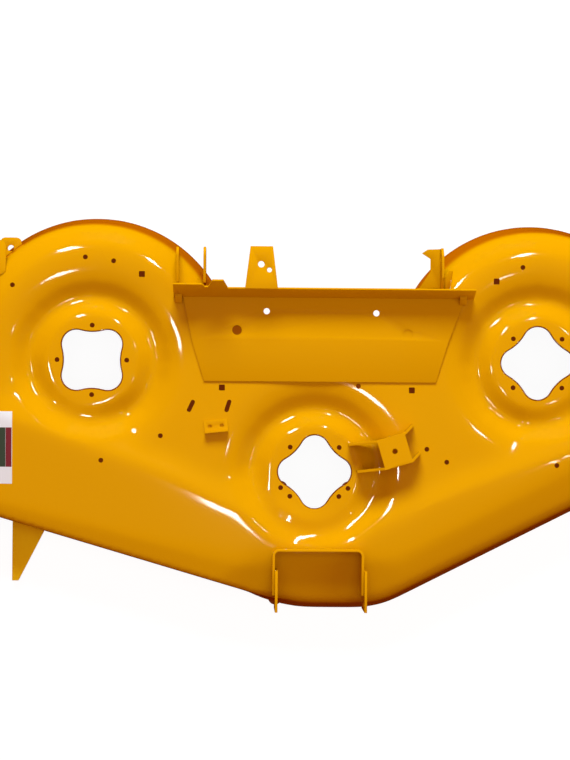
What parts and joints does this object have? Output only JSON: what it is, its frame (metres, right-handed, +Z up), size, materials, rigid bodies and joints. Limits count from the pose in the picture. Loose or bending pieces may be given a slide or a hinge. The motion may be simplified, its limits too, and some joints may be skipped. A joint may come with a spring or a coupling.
{
  "type": "lawn mower deck",
  "caption": "Drawn sheet steel mower deck shell with three dished spindle seats, clover cut-outs, a front ridge, a rear bridge plate and welded brackets.",
  "frame": {"origin": "centre of the middle spindle's bolt circle, on the top face of its seat", "axes": "+X along the deck's width away from the discharge mouth, +Y to the rear, +Z up along the spindle axes"},
  "size_m": [1.33, 0.739, 0.1822],
  "materials": {
    "paint": "gloss enamel"
  },
  "bodies": {
    "root": {"deck_shell": "paint", "rear_plate": "paint", "rear_tab": "paint", "left_lift_ear_outer": "paint", "left_lift_ear_inner": "paint", "right_lift_bracket": "paint", "right_lift_ear": "paint", "left_corner_gusset": "paint", "right_corner_gusset": "paint", "idler_bridge": "paint", "belt_clip": "paint", "nose_channel": "paint", "nose_ear_left": "paint", "nose_ear_right": "paint", "chute_hinge_plate": "paint", "chute_hinge_tab": "paint", "guard_plate": "paint", "chute_front_plate": "paint", "left_baffle": "paint", "middle_baffle": "paint", "right_baffle": "paint"}
  },
  "joints": []
}
